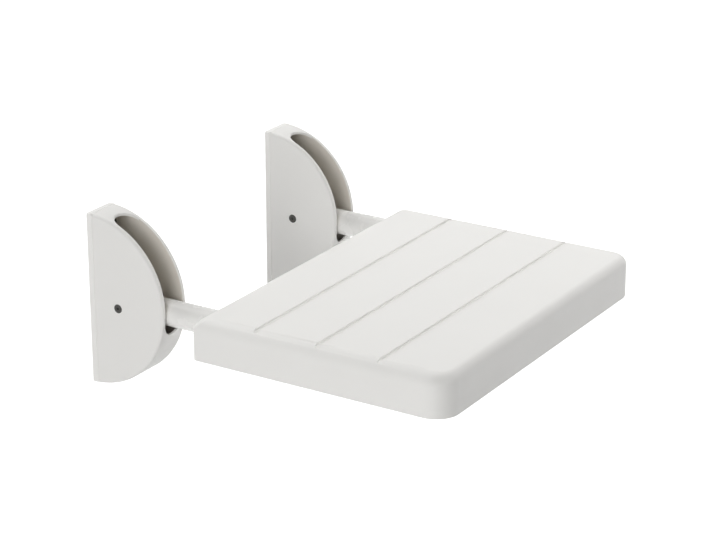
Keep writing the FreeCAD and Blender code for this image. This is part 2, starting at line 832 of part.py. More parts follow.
def make_parts():
    parts = []
    bracket_makers = {
        "wall_plate": make_wall_plate,
        "bracket_frame": make_bracket_frame,
        "cover": make_cover,
        "arm": make_arm,
    }
    for side, sign in SIDES.items():
        for name, maker in bracket_makers.items():
            parts.append(maker("%s_%s" % (side, name), half_spacing * sign))
    hardware_makers = {
        "axles": make_axles,
        "axle_screws": make_axle_screws,
        "bushes": make_bushes,
        "friction_washers": make_friction_washers,
        "stop_pads": make_stop_pads,
        "hubs": make_hubs,
        "end_plugs": make_end_plugs,
        "clamps": make_clamps,
    }
    for name, maker in hardware_makers.items():
        parts.append(maker(name))
    parts.append(make_cross_tube("rear_cross_tube", rear_cross_out))
    parts.append(make_cross_tube("front_cross_tube", front_cross_out))
    parts.append(make_seat_shell())
    return parts


def check_and_write(parts):
    doc.recompute()
    for item in doc.Objects:
        if "Invalid" in item.State or "Error" in item.State:
            sys.exit("%s failed: %s" % (item.Name, item.State))
    for part in parts:
        if part.Shape.isNull() or not part.Shape.isValid():
            sys.exit("%s has no valid shape" % part.Label)
    os.makedirs("parts", exist_ok=True)
    for part in parts:
        part.Shape.exportStep(os.path.join("parts", part.Label + ".step"))
        print("%-24s %2d solids %12.1f mm3" % (part.Label, len(part.Shape.Solids), part.Shape.Volume))


check_and_write(make_parts())
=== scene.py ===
"""Looks of the fold down wall seat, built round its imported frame.

The frame's axes hold here: X along the wall, Y into it, Z up, with the origin on the wall between the
brackets. Shapes are drawn in millimetres and laid down in metres. "Out" is measured from the wall.
"""

import math

import bmesh
import bpy
from mathutils import Matrix, Vector


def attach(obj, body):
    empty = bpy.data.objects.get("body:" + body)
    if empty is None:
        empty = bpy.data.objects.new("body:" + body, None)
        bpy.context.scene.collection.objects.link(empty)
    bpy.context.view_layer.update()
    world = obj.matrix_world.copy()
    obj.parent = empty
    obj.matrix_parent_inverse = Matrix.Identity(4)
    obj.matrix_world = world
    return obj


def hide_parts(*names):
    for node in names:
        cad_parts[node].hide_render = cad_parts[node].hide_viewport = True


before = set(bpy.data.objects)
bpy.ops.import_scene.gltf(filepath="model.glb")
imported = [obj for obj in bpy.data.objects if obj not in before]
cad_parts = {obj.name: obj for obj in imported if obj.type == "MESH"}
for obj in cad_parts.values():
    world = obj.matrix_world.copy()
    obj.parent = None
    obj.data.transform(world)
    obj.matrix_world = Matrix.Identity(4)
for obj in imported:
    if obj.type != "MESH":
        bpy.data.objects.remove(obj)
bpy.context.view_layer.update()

MM = 0.001
SIDES = (-1, 1)
NAMED_SIDES = ((-1, "left"), (1, "right"))

# Sizes that the pieces share, as the solids have them.
SPACING = 352.0                 # between the brackets' middles
PIVOT_OUT, PIVOT_HEIGHT = 39.0, -4.5
BRACKET_WIDTH, BRACKET_RADIUS = 44.0, 101.0
PLATE_THICKNESS, COVER_WALL = 7.0, 3.0
ARM_RADIUS, ARM_BORE = 15.0, 12.5
SHOULDER_OUT, ARM_END = 68.0, 441.0
PLUG_HEAD = 3.0                 # how far an end plug stands out of its arm
CROSS_RADIUS = 12.5
SEAT_WIDTH, SEAT_DEPTH, SEAT_HEIGHT = 438.0, 316.0, 49.0
SEAT_FRONT, SEAT_TOP, SEAT_WALL = 470.0, 16.0, 4.0
SEAT_REAR = SEAT_FRONT - SEAT_DEPTH
SEAT_BOTTOM = SEAT_TOP - SEAT_HEIGHT
FRONT_CORNER = 28.0             # radius of the seat's front corners, seen from above
MIDDLE_GROOVE, GROOVE_PITCH = 308.0, 77.0
CROSS_OUTS = (MIDDLE_GROOVE - 1.25 * GROOVE_PITCH, MIDDLE_GROOVE + 1.25 * GROOVE_PITCH)
CLAMP_OUTS = (MIDDLE_GROOVE - 0.75 * GROOVE_PITCH, MIDDLE_GROOVE + 0.75 * GROOVE_PITCH)
BOSS_OFFSET = 22.5              # from an arm's middle to the clamp screws beside it
EAR_BOTTOM = PIVOT_HEIGHT - 4.0

# Forms that follow the photograph where it differs a little from the solids.
SLOT_HALF, SLOT_TOP_OUT, SLOT_LOW = 16.8, 42.68, -12.4
GROOVE_HALF, GROOVE_DEPTH, GROOVE_SHIFT = 2.9, 3.1, 1.5
SIDE_ROUNDING, FRONT_ROUNDING = 16.5, 11.0

# The camera, the floor and the lamps, in metres, degrees and watts.
CAMERA_PLACE, CAMERA_LENS = (-2.1425, -1.5596, 0.9719), 119.85
CAMERA_DIP, CAMERA_TURN = 20.76, -58.16
FLOOR_HEIGHT, FLOOR_LIFT = -0.46, 0.80
LAMPS = (                       # name, place, side, power, whether the roundings mirror it
    ("left_softbox", (-3.0, -0.6, 0.9), 1.8, 54, False),
    ("rear_softbox", (0, 2.2, 2.0), 1.5, 47, True),
    ("right_softbox", (2.0, -0.2, 2.0), 1.5, 25, False),
    ("front_softbox", (1.8, -1.9, 2.0), 1.5, 44, False),
)


# ---- camera and light

def add_camera():
    """The photograph's place and lens: 3 m off, a little above the seat and from its left."""
    camera = bpy.data.objects.new("camera", bpy.data.cameras.new("camera"))
    bpy.context.scene.collection.objects.link(camera)
    camera.data.sensor_fit = "HORIZONTAL"
    camera.data.sensor_width = 36.0
    camera.data.lens = CAMERA_LENS
    camera.data.clip_end = 50.0
    camera.location = CAMERA_PLACE
    camera.rotation_euler = (math.radians(90 - CAMERA_DIP), 0, math.radians(CAMERA_TURN))
    bpy.context.scene.camera = camera


add_camera()


def add(tree, kind, settings=None, inputs=None):
    """Add a node, set its properties, and set or link its inputs by name or number."""
    made = tree.nodes.new(kind)
    for name, value in (settings or {}).items():
        setattr(made, name, value)
    for name, value in (inputs or {}).items():
        if isinstance(value, bpy.types.NodeSocket):
            tree.links.new(value, made.inputs[name])
        else:
            made.inputs[name].default_value = value
    return made


def linear(code):
    """An sRGB hex code as the linear colour a shader takes."""
    values = [int(code[index:index + 2], 16) / 255 for index in (0, 2, 4)]
    return [v / 12.92 if v <= 0.04045 else ((v + 0.055) / 1.055) ** 2.4 for v in values] + [1.0]


def either(tree, first, second):
    """1 where one of two ray tests says 1."""
    return add(tree, "ShaderNodeMath", {"operation": "MAXIMUM"}, {0: first, 1: second}).outputs[0]


def add_lamp(name, place, size, power, mirrored):
    """A square softbox turned to the middle of the seat. Only a mirrored one shows in the roundings."""
    data = bpy.data.lights.new(name, "AREA")
    data.shape = "SQUARE"
    data.size = size
    data.energy = power
    lamp = bpy.data.objects.new(name, data)
    lamp.location = place
    lamp.visible_glossy = mirrored
    aim = Vector((0, -0.25, 0)) - Vector(place)
    lamp.rotation_euler = aim.to_track_quat("-Z", "Y").to_euler()
    bpy.context.scene.collection.objects.link(lamp)


def add_studio_world():
    """Even soft light, a white surround for the camera, and a darker ceiling for reflections."""
    world = bpy.data.worlds.new("studio")
    bpy.context.scene.world = world
    world.use_nodes = True
    tree = world.node_tree
    tree.nodes.clear()
    ray = add(tree, "ShaderNodeLightPath")
    direction = add(tree, "ShaderNodeTexCoord")
    height = add(tree, "ShaderNodeSeparateXYZ", inputs={0: direction.outputs["Generated"]})
    ramp = add(tree, "ShaderNodeValToRGB", inputs={0: height.outputs["Z"]})
    ramp.color_ramp.elements[0].position = 0.50
    ramp.color_ramp.elements[0].color = (1, 1, 1, 1)
    ramp.color_ramp.elements[1].position = 0.80
    ramp.color_ramp.elements[1].color = (0.30, 0.30, 0.30, 1)
    light = add(tree, "ShaderNodeBackground", inputs={"Color": linear("FFFFFF"), "Strength": 0.06})
    mirror = add(tree, "ShaderNodeBackground", inputs={"Color": ramp.outputs["Color"], "Strength": 1.0})
    white = add(tree, "ShaderNodeBackground", inputs={"Color": linear("FFFFFF"), "Strength": 1.0})
    shiny = either(tree, ray.outputs["Is Glossy Ray"], ray.outputs["Is Transmission Ray"])
    lit = add(tree, "ShaderNodeMixShader", inputs={0: shiny, 1: light.outputs[0], 2: mirror.outputs[0]})
    seen = add(tree, "ShaderNodeMixShader", inputs={
        0: ray.outputs["Is Camera Ray"], 1: lit.outputs[0], 2: white.outputs[0]})
    add(tree, "ShaderNodeOutputWorld", inputs={"Surface": seen.outputs[0]})


def add_floor():
    """Pale floor at sitting height below the seat. The camera sees it near white, with the seat's shadow."""
    shape = bmesh.new()
    bmesh.ops.create_grid(shape, x_segments=1, y_segments=1, size=30.0)
    bmesh.ops.translate(shape, verts=shape.verts, vec=(0, 0, FLOOR_HEIGHT))
    mesh = bpy.data.meshes.new("floor")
    shape.to_mesh(mesh)
    shape.free()
    floor = bpy.data.objects.new("floor", mesh)
    bpy.context.scene.collection.objects.link(floor)
    paint = bpy.data.materials.new("white_studio_floor")
    paint.use_nodes = True
    tree = paint.node_tree
    tree.nodes.clear()
    ray = add(tree, "ShaderNodeLightPath")
    shiny = either(tree, ray.outputs["Is Glossy Ray"], ray.outputs["Is Transmission Ray"])
    seen = either(tree, ray.outputs["Is Camera Ray"], shiny)
    matt = add(tree, "ShaderNodeBsdfDiffuse", inputs={"Color": linear("DADADA")})
    lift = add(tree, "ShaderNodeMath", {"operation": "MULTIPLY"}, {0: seen, 1: FLOOR_LIFT})
    glow = add(tree, "ShaderNodeEmission", inputs={"Color": linear("FFFFFF"), "Strength": lift.outputs[0]})
    both = add(tree, "ShaderNodeAddShader", inputs={0: matt.outputs[0], 1: glow.outputs[0]})
    add(tree, "ShaderNodeOutputMaterial", inputs={"Surface": both.outputs[0]})
    mesh.materials.append(paint)


add_studio_world()
add_floor()
for lamp_values in LAMPS:
    add_lamp(*lamp_values)
bpy.context.scene.view_settings.view_transform = "Standard"


# ---- finishes

def start_finish(name):
    """A new material with one principled shader: itself, its tree, the shader and the object's own place."""
    finish = bpy.data.materials.new(name)
    finish.use_nodes = True
    tree = finish.node_tree
    tree.nodes.clear()
    shader = add(tree, "ShaderNodeBsdfPrincipled")
    add(tree, "ShaderNodeOutputMaterial", inputs={"Surface": shader.outputs[0]})
    place = add(tree, "ShaderNodeTexCoord").outputs["Object"]
    return finish, tree, shader, place


def set_shader(shader, **values):
    for name, value in values.items():
        shader.inputs[name.replace("_", " ")].default_value = value


def patches(tree, place, size, detail):
    """Noise whose patches are this many millimetres across."""
    noise = add(tree, "ShaderNodeTexNoise", inputs={
        "Vector": place, "Scale": 1000.0 / size, "Detail": detail})
    return noise.outputs["Fac"]


def vary(tree, place, socket, size, low, high):
    """Let a number drift between two values over patches of a size in millimetres."""
    drift = add(tree, "ShaderNodeMapRange", inputs={
        "Value": patches(tree, place, size, 2.0), "From Min": 0.35, "From Max": 0.65, "To Min": low,
        "To Max": high})
    tree.links.new(drift.outputs["Result"], socket)


def tint(tree, place, socket, size, first, second):
    """Let the colour drift between two hex codes over patches of a size in millimetres."""
    mix = add(tree, "ShaderNodeMix", {"data_type": "RGBA"}, {
        0: patches(tree, place, size, 3.0), 6: linear(first), 7: linear(second)})
    tree.links.new(mix.outputs[2], socket)


def grain(tree, place, shader, size, depth):
    """Relief of a size and depth in millimetres."""
    relief = add(tree, "ShaderNodeBump", inputs={
        "Height": patches(tree, place, size, 3.0), "Distance": depth * MM, "Strength": 1.0})
    tree.links.new(relief.outputs["Normal"], shader.inputs["Normal"])


def moulded_abs(name, first, second, rough):
    """Injection moulded ABS from a polished mould: smooth semi-gloss with a barely uneven sheen."""
    finish, tree, shader, place = start_finish(name)
    set_shader(shader, IOR=1.53)
    tint(tree, place, shader.inputs["Base Color"], 60.0, first, second)
    vary(tree, place, shader.inputs["Roughness"], 24.0, rough, rough + 0.05)
    grain(tree, place, shader, 5.0, 0.006)
    return finish


def powder_coat():
    """White polyester powder coat on steel tube: even, glossy, with a faint orange peel."""
    finish, tree, shader, place = start_finish("white_powder_coated_steel")
    set_shader(shader, IOR=1.5)
    tint(tree, place, shader.inputs["Base Color"], 80.0, "ECEBE8", "EAE9E6")
    vary(tree, place, shader.inputs["Roughness"], 15.0, 0.22, 0.30)
    grain(tree, place, shader, 3.0, 0.012)
    return finish


def soft_seal():
    """Moulded thermoplastic rubber of the sealing plate: pale, matt and slightly translucent looking."""
    finish, tree, shader, place = start_finish("pale_moulded_seal")
    set_shader(shader, IOR=1.5)
    tint(tree, place, shader.inputs["Base Color"], 30.0, "F0EFEC", "EEEDEA")
    vary(tree, place, shader.inputs["Roughness"], 10.0, 0.48, 0.58)
    grain(tree, place, shader, 1.5, 0.01)
    return finish


def phosphated_steel():
    """Pressed steel with a dark phosphate coat: dull brownish grey crystals that drink the light."""
    finish, tree, shader, place = start_finish("phosphated_pressed_steel")
    set_shader(shader, Metallic=0.75)
    tint(tree, place, shader.inputs["Base Color"], 2.5, "4A4743", "5B5751")
    vary(tree, place, shader.inputs["Roughness"], 3.0, 0.50, 0.68)
    grain(tree, place, shader, 0.8, 0.012)
    return finish


def bright_steel(name, code, low, high):
    """Ground or plated steel: bright metal with fine wear in its sheen."""
    finish, tree, shader, place = start_finish(name)
    set_shader(shader, Metallic=1.0, Base_Color=linear(code))
    vary(tree, place, shader.inputs["Roughness"], 2.0, low, high)
    grain(tree, place, shader, 0.7, 0.004)
    return finish


def black_oxide():
    """Black oxide on a steel screw: dark grey, with a dry sheen."""
    finish, tree, shader, place = start_finish("black_oxide_steel")
    set_shader(shader, Metallic=0.6, Base_Color=linear("454441"))
    vary(tree, place, shader.inputs["Roughness"], 1.2, 0.38, 0.5)
    grain(tree, place, shader, 0.6, 0.004)
    return finish


def dull_moulding(name, first, second, rough, size, depth):
    """Moulded nylon, acetal or rubber: one body colour, dull, with a fine grain from the mould."""
    finish, tree, shader, place = start_finish(name)
    set_shader(shader, IOR=1.52)
    tint(tree, place, shader.inputs["Base Color"], 12.0, first, second)
    vary(tree, place, shader.inputs["Roughness"], 6.0, rough, rough + 0.1)
    grain(tree, place, shader, size, depth)
    return finish


SEAT_ABS = moulded_abs("white_moulded_abs_seat", "EDECE9", "EBEAE7", 0.42)
COVER_ABS = moulded_abs("white_moulded_abs_cover", "EAE9E6", "E8E7E4", 0.46)
POWDER_COAT = powder_coat()
SEAL = soft_seal()
PHOSPHATED = phosphated_steel()
GROUND_STEEL = bright_steel("ground_steel_pin", "B4B4B2", 0.18, 0.28)
ZINC_PLATE = bright_steel("zinc_plated_screw", "C2C3C4", 0.22, 0.34)
BLACK_OXIDE = black_oxide()
ACETAL = dull_moulding("natural_acetal", "E2E0D6", "DDDBD1", 0.35, 2.0, 0.005)
DARK_NYLON = dull_moulding("dark_glass_filled_nylon", "2B2B2C", "333334", 0.5, 1.0, 0.01)
WHITE_NYLON = dull_moulding("white_glass_filled_nylon", "E4E3DF", "DEDDD9", 0.45, 1.0, 0.012)
# The covers' inside faces: a darker, warmer colour that is painted shade of the hollow seen through the
# slot, with a duller sheen.
INSIDE_SHADE_PAINT = dull_moulding("painted_shade_inside_of_cover", "DEDAD2", "D9D4CB", 0.6, 1.2, 0.02)
BLACK_RUBBER = dull_moulding("black_moulded_rubber", "191919", "212121", 0.7, 0.8, 0.02)


# ---- shaping

def block(low, high):
    """A box between two corners."""
    shape = bmesh.new()
    bmesh.ops.create_cube(shape, size=1.0)
    size = Vector(high) - Vector(low)
    middle = (Vector(high) + Vector(low)) / 2
    bmesh.ops.scale(shape, verts=shape.verts, vec=size)
    bmesh.ops.translate(shape, verts=shape.verts, vec=middle)
    return shape


def round_edges(shape, edges, radius, segments, clamp=True):
    bmesh.ops.bevel(
        shape, geom=list(edges), offset=radius, offset_type="OFFSET", segments=segments, profile=0.5,
        affect="EDGES", clamp_overlap=clamp, material=-1)


def edges_along(shape, axis):
    """The straight edges that run along X, Y or Z, given as 0, 1 or 2."""
    found = []
    for edge in shape.edges:
        run = edge.verts[1].co - edge.verts[0].co
        if abs(abs(run.normalized()[axis]) - 1) < 1e-4:
            found.append(edge)
    return found


def edges_in_plane(shape, axis, place):
    return [e for e in shape.edges if all(abs(v.co[axis] - place) < 1e-3 for v in e.verts)]


def sharp_edges(shape, degrees, test=lambda edge: True):
    """The edges folded by more than some degrees that also pass a test."""
    limit = math.radians(degrees)
    return [e for e in shape.edges if len(e.link_faces) == 2 and e.calc_face_angle(0) > limit and test(e)]


def extruded(points, direction):
    """A prism: an outline of a few points drawn out along a direction."""
    shape = bmesh.new()
    face = shape.faces.new([shape.verts.new(point) for point in points])
    top = bmesh.ops.extrude_face_region(shape, geom=[face])
    verts = [item for item in top["geom"] if isinstance(item, bmesh.types.BMVert)]
    bmesh.ops.translate(shape, verts=verts, vec=direction)
    bmesh.ops.recalc_face_normals(shape, faces=shape.faces)
    return shape


def rod(radius, start, end, segments=96):
    """A round rod from one point to another."""
    start, end = Vector(start), Vector(end)
    run = end - start
    shape = bmesh.new()
    bmesh.ops.create_cone(
        shape, cap_ends=True, segments=segments, radius1=radius, radius2=radius, depth=run.length)
    turn = run.to_track_quat("Z", "Y").to_matrix().to_4x4()
    bmesh.ops.transform(shape, matrix=Matrix.Translation((start + end) / 2) @ turn, verts=shape.verts)
    return shape


def turned(profile, centre, axis, rounds=(), segments=96):
    """A lathe part: corners (along, radius) spun about an axis through the centre.

    rounds lists (corner number, radius, steps) for the corners that are rounded off.
    """
    shape = bmesh.new()
    ring = [shape.verts.new((along, radius, 0)) for along, radius in profile]
    for first, second in zip(ring, ring[1:] + ring[:1]):
        if first.co.y or second.co.y:
            shape.edges.new((first, second))
    for number, radius, steps in rounds:
        bmesh.ops.bevel(
            shape, geom=[ring[number]], offset=radius, offset_type="OFFSET", segments=steps, profile=0.5,
            affect="VERTICES", clamp_overlap=True, material=-1)
    bmesh.ops.spin(
        shape, geom=list(shape.verts) + list(shape.edges), cent=(0, 0, 0), axis=(1, 0, 0), steps=segments,
        angle=2 * math.pi, use_merge=True)
    bmesh.ops.remove_doubles(shape, verts=shape.verts, dist=1e-4)
    bmesh.ops.recalc_face_normals(shape, faces=shape.faces)
    turn = Vector(axis).to_track_quat("X", "Z").to_matrix().to_4x4()
    bmesh.ops.transform(shape, matrix=Matrix.Translation(centre) @ turn, verts=shape.verts)
    return shape


def joined(shapes):
    """One shape out of several that don't touch or just rest on each other."""
    whole = bmesh.new()
    for shape in shapes:
        mesh = bpy.data.meshes.new("joined")
        shape.to_mesh(mesh)
        whole.from_mesh(mesh)
        bpy.data.meshes.remove(mesh)
        shape.free()
    return whole


def as_object(shape, name):
    mesh = bpy.data.meshes.new(name)
    shape.to_mesh(mesh)
    shape.free()
    made = bpy.data.objects.new(name, mesh)
    bpy.context.scene.collection.objects.link(made)
    return made


def settled(body, helpers=()):
    """The shape of an object with its modifiers applied. The object and its helpers are dropped."""
    result = bmesh.new()
    result.from_object(body, bpy.context.evaluated_depsgraph_get())
    for item in (body, *helpers):
        mesh = item.data
        bpy.data.objects.remove(item)
        bpy.data.meshes.remove(mesh)
    return result


def carve(shape, cutters, operation="DIFFERENCE", merge=1e-3):
    """Cut solids out of a shape, one after the other, or weld them on."""
    body = as_object(shape, "carved")
    helpers = [as_object(cutter, "cutter") for cutter in cutters]
    for helper in helpers:
        step = body.modifiers.new("carve", "BOOLEAN")
        step.operation = operation
        step.solver = "EXACT"
        step.object = helper
    result = settled(body, helpers)
    bmesh.ops.remove_doubles(result, verts=result.verts, dist=merge)
    bmesh.ops.dissolve_degenerate(result, edges=result.edges, dist=merge)
    return result


def finished(shape, name, finish, body, nodes, crease=38.0, soften=0.0, steps=2):
    """Lay a shape down as a piece: metres, smooth sheen between creases, finish, body and CAD nodes."""
    bmesh.ops.scale(shape, verts=shape.verts, vec=(MM, MM, MM))
    piece = as_object(shape, name)
    for face in piece.data.polygons:
        face.use_smooth = True
    piece.data.set_sharp_from_angle(angle=math.radians(crease))
    if soften:
        bevel = piece.modifiers.new("soft edges", "BEVEL")
        bevel.width = soften * MM
        bevel.segments = steps
        bevel.limit_method = "ANGLE"
        bevel.angle_limit = math.radians(crease)
    flat = piece.modifiers.new("even sheen", "WEIGHTED_NORMAL")
    flat.keep_sharp = True
    piece.data.materials.append(finish)
    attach(piece, body)
    if nodes:
        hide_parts(*nodes)
    return piece


def at_side(shape, side):
    """A shape drawn about x = 0, moved to the left (-1) or right (1) bracket."""
    bmesh.ops.translate(shape, verts=shape.verts, vec=(side * SPACING / 2, 0, 0))
    return shape


def both_sides(shape):
    """The same shape at the left and the right bracket."""
    other = shape.copy()
    return joined([at_side(shape, -1), at_side(other, 1)])


def cad_copy(*nodes):
    """The solids of CAD nodes as one shape in millimetres, with their flat faces whole again."""
    shape = bmesh.new()
    for node in nodes:
        shape.from_mesh(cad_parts[node].data)
    bmesh.ops.scale(shape, verts=shape.verts, vec=(1 / MM, 1 / MM, 1 / MM))
    bmesh.ops.remove_doubles(shape, verts=shape.verts, dist=1e-3)
    bmesh.ops.dissolve_limit(
        shape, angle_limit=math.radians(0.5), verts=shape.verts, edges=shape.edges, delimit=set())
    return shape


# ---- wall brackets

CHANNEL_STEEL, CHANNEL_PLAY = 3.0, 0.1
WASHER_THICKNESS, HUB_PLAY = 2.0, 0.3
FRAME_WIDTH = BRACKET_WIDTH - 2 * COVER_WALL - CHANNEL_PLAY
LUG_GAP = FRAME_WIDTH - 2 * CHANNEL_STEEL
HUB_WIDTH = LUG_GAP - 2 * (WASHER_THICKNESS + HUB_PLAY)
AXLE_RADIUS, AXLE_FIT, TAPPED_RADIUS = 6.0, 0.05, 2.55
SHANK_HOLE, SINK_DEPTH = 2.65, 2.1
PIVOT = (0, -PIVOT_OUT, PIVOT_HEIGHT)
ALONG_AXLE = (1, 0, 0)


def on_axle(x):
    """The point of the pivot's axis at an x."""
    return (x, -PIVOT_OUT, PIVOT_HEIGHT)


def make_wall_plate():
    """Sealing plate behind each cover: rounded corners, softened front edge, two screw holes."""
    half = BRACKET_WIDTH / 2
    hole_radius, hole_height = 4.2, 75
    shape = block((-half, -PLATE_THICKNESS, -BRACKET_RADIUS), (half, 0, BRACKET_RADIUS))
    round_edges(shape, edges_along(shape, 1), 2.5, 6)
    round_edges(shape, edges_in_plane(shape, 1, -PLATE_THICKNESS), 0.8, 3)
    return carve(shape, [
        rod(hole_radius, (0, 5, side * hole_height), (0, -20, side * hole_height), 48) for side in SIDES])


def half_cylinder():
    """The cover's outside: a cylinder with rounded rims, cut off flat where it meets the sealing plate."""
    half = BRACKET_WIDTH / 2
    rounding = 3.2
    shape = turned(
        [(-half, 0), (-half, BRACKET_RADIUS), (half, BRACKET_RADIUS), (half, 0)], (0, 0, 0), ALONG_AXLE,
        rounds=[(1, rounding, 5), (2, rounding, 5)], segments=224)
    everything = list(shape.verts) + list(shape.edges) + list(shape.faces)
    cut = bmesh.ops.bisect_plane(
        shape, geom=everything, dist=1e-4, plane_co=(0, -PLATE_THICKNESS, 0), plane_no=(0, 1, 0),
        clear_outer=True)
    outline = [item for item in cut["geom_cut"] if isinstance(item, bmesh.types.BMEdge)]
    bmesh.ops.edgeloop_fill(shape, edges=outline)
    bmesh.ops.recalc_face_normals(shape, faces=shape.faces)
    round_edges(shape, sharp_edges(shape, 60), 0.7, 2, clamp=False)
    return shape


def on_slot_rim(edge):
    """Whether an edge lies on the cover's curved front, at the slot."""
    return all(
        abs(math.hypot(v.co.y, v.co.z) - BRACKET_RADIUS) < 0.05 and abs(v.co.x) < SLOT_HALF + 0.01
        for v in edge.verts)


def make_cover():
    """Moulded D: even walls, a rounded rim, the slot with its softened edge, and the countersinks."""
    half = BRACKET_WIDTH / 2
    inside, inner_radius = half - COVER_WALL, BRACKET_RADIUS - COVER_WALL
    hollow = turned(
        [(-inside, 0), (-inside, inner_radius), (inside, inner_radius), (inside, 0)], (0, 0, 0), ALONG_AXLE,
        rounds=[(1, 1.5, 3), (2, 1.5, 3)], segments=224)
    far = BRACKET_RADIUS * 1.4
    slot = [
        block((-SLOT_HALF, -far, SLOT_LOW), (SLOT_HALF, -SLOT_TOP_OUT, far)),
        rod(SLOT_HALF, (0, -SLOT_TOP_OUT, SLOT_LOW), (0, -far, SLOT_LOW), 64),
        rod(SLOT_HALF, (0, -SLOT_TOP_OUT, 0), (0, -SLOT_TOP_OUT, far), 64),
    ]
    shape = carve(half_cylinder(), [hollow] + slot, merge=0.02)
    round_edges(shape, sharp_edges(shape, 35, on_slot_rim), 0.9, 3, clamp=False)

    low, high, wide = half - SINK_DEPTH, half + 1, 7.0
    sinks = [rod(SHANK_HOLE, on_axle(-half - 5), on_axle(half + 5), 48)]
    for side in SIDES:
        sinks.append(turned(
            [(low, 0), (low, SHANK_HOLE), (high, wide), (high, 0)], PIVOT, (side, 0, 0), segments=48))
    return carve(shape, sinks)


def make_axle():
    """Ground pin from lug to lug, chamfered, with a tapped hole in each end."""
    half = FRAME_WIDTH / 2
    chamfer = 0.5
    tapped, drilled = half - 12, half - 13
    profile = [
        (-half, TAPPED_RADIUS), (-half, AXLE_RADIUS - chamfer), (-half + chamfer, AXLE_RADIUS),
        (half - chamfer, AXLE_RADIUS), (half, AXLE_RADIUS - chamfer), (half, TAPPED_RADIUS),
        (tapped, TAPPED_RADIUS), (drilled, 0), (-drilled, 0), (-tapped, TAPPED_RADIUS)]
    return turned(profile, PIVOT, ALONG_AXLE, segments=64)


def make_axle_screws():
    """Countersunk screws with a hexagon socket, their heads flush with the cheeks."""
    face = BRACKET_WIDTH / 2 - 0.1
    neck = BRACKET_WIDTH / 2 - SINK_DEPTH
    tip = BRACKET_WIDTH / 2 - 10
    profile = [
        (tip, 0), (tip, 2.1), (tip + 0.4, 2.5), (neck, 2.5), (face - 0.25, 5.2), (face, 5.2), (face, 0)]
    screws = []
    for side in SIDES:
        head = turned(profile, PIVOT, (side, 0, 0), segments=48)
        socket = rod(1.73, on_axle(side * (face - 1.6)), on_axle(side * (face + 1.1)), 6)
        screws.append(carve(head, [socket]))
    return joined(screws)


def make_washers():
    """Flat friction washer against the inside of each lug."""
    outer = LUG_GAP / 2
    inner = outer - WASHER_THICKNESS
    bore, radius = AXLE_RADIUS + AXLE_FIT, 14
    return joined([turned(
        [(inner, bore), (inner, radius), (outer, radius), (outer, bore)], PIVOT, (side, 0, 0),
        rounds=[(1, 0.4, 2), (2, 0.4, 2)], segments=64) for side in SIDES])


def make_bush():
    """Plain acetal sleeve pressed into the hub, its outer edges broken."""
    half = HUB_WIDTH / 2
    bore = AXLE_RADIUS + AXLE_FIT
    outside = bore + 2
    return turned(
        [(-half, bore), (-half, outside), (half, outside), (half, bore)], PIVOT, ALONG_AXLE,
        rounds=[(0, 0.3, 2), (3, 0.3, 2)], segments=64)


def make_stop_pad():
    """Rubber block bonded to the back plate, with softened edges."""
    half_width, half_height, thickness = 10.5, 12.5, 6.0
    back = -PLATE_THICKNESS - CHANNEL_STEEL
    front = back - thickness
    middle = PIVOT_HEIGHT - 27.0
    pad = block((-half_width, front, middle - half_height), (half_width, back, middle + half_height))
    round_edges(pad, edges_along(pad, 1), 1.5, 3)
    round_edges(pad, edges_in_plane(pad, 1, front), 1.2, 3)
    return pad


def paint_shade_inside_cover(cover, middle):
    """Give the faces inside a cover, whose middle is at an x in millimetres, a darker, warmer and duller
    material: its colour is painted shade of the cover's hollow.
    """
    margin = COVER_WALL - 0.1
    cover.data.materials.append(INSIDE_SHADE_PAINT)
    for face in cover.data.polygons:
        out = math.hypot(face.center.y, face.center.z) / MM
        across = abs(face.center.x / MM - middle)
        face.material_index = int(out < BRACKET_RADIUS - margin and across < BRACKET_WIDTH / 2 - margin)


def add_brackets():
    body = "wall_brackets"
    for side, name in NAMED_SIDES:
        finished(
            at_side(make_wall_plate(), side), name + "_sealing_plate", SEAL, body,
            [name + "_wall_plate"])
        cover = finished(
            at_side(make_cover(), side), name + "_cover_moulding", COVER_ABS, body,
            [name + "_cover"])
        # The cover's inside faces get the darker colour of painted shade.
        paint_shade_inside_cover(cover, side * SPACING / 2)
        finished(
            cad_copy(name + "_bracket_frame"), name + "_pressed_channel", PHOSPHATED, body,
            [name + "_bracket_frame"], soften=0.3)
    for shape, name, finish, slot, node in (
            (make_axle(), "pivot_pins", GROUND_STEEL, "axle", "axles"),
            (make_axle_screws(), "countersunk_screws", BLACK_OXIDE, "axle_screw", "axle_screws"),
            (make_washers(), "nylon_washers", DARK_NYLON, "friction_washer", "friction_washers"),
            (make_stop_pad(), "rubber_stops", BLACK_RUBBER, "stop_pad", "stop_pads")):
        finished(both_sides(shape), name, finish, body, [node])


# ---- seat frame

ALONG_ARM = (0, -1, 0)
ARM_MIDDLE = (0, 0, PIVOT_HEIGHT)


def make_arm():
    """Straight tube from the hub's shoulder to the seat's front, its outer edges broken."""
    return turned(
        [(SHOULDER_OUT, ARM_BORE), (SHOULDER_OUT, ARM_RADIUS), (ARM_END, ARM_RADIUS), (ARM_END, ARM_BORE)],
        ARM_MIDDLE, ALONG_ARM, rounds=[(1, 0.4, 2), (2, 0.4, 2)], segments=96)


def make_end_plug():
    """Moulded plug pressed into the tube, with a softly rounded end that stands out of it."""
    start, end = ARM_END - 14, ARM_END + PLUG_HEAD
    radius = ARM_BORE - 0.05
    return turned(
        [(start, 0), (start, radius), (end, radius), (end, 0)], ARM_MIDDLE, ALONG_ARM,
        rounds=[(1, 1.0, 2), (2, 1.6, 4)], segments=96)


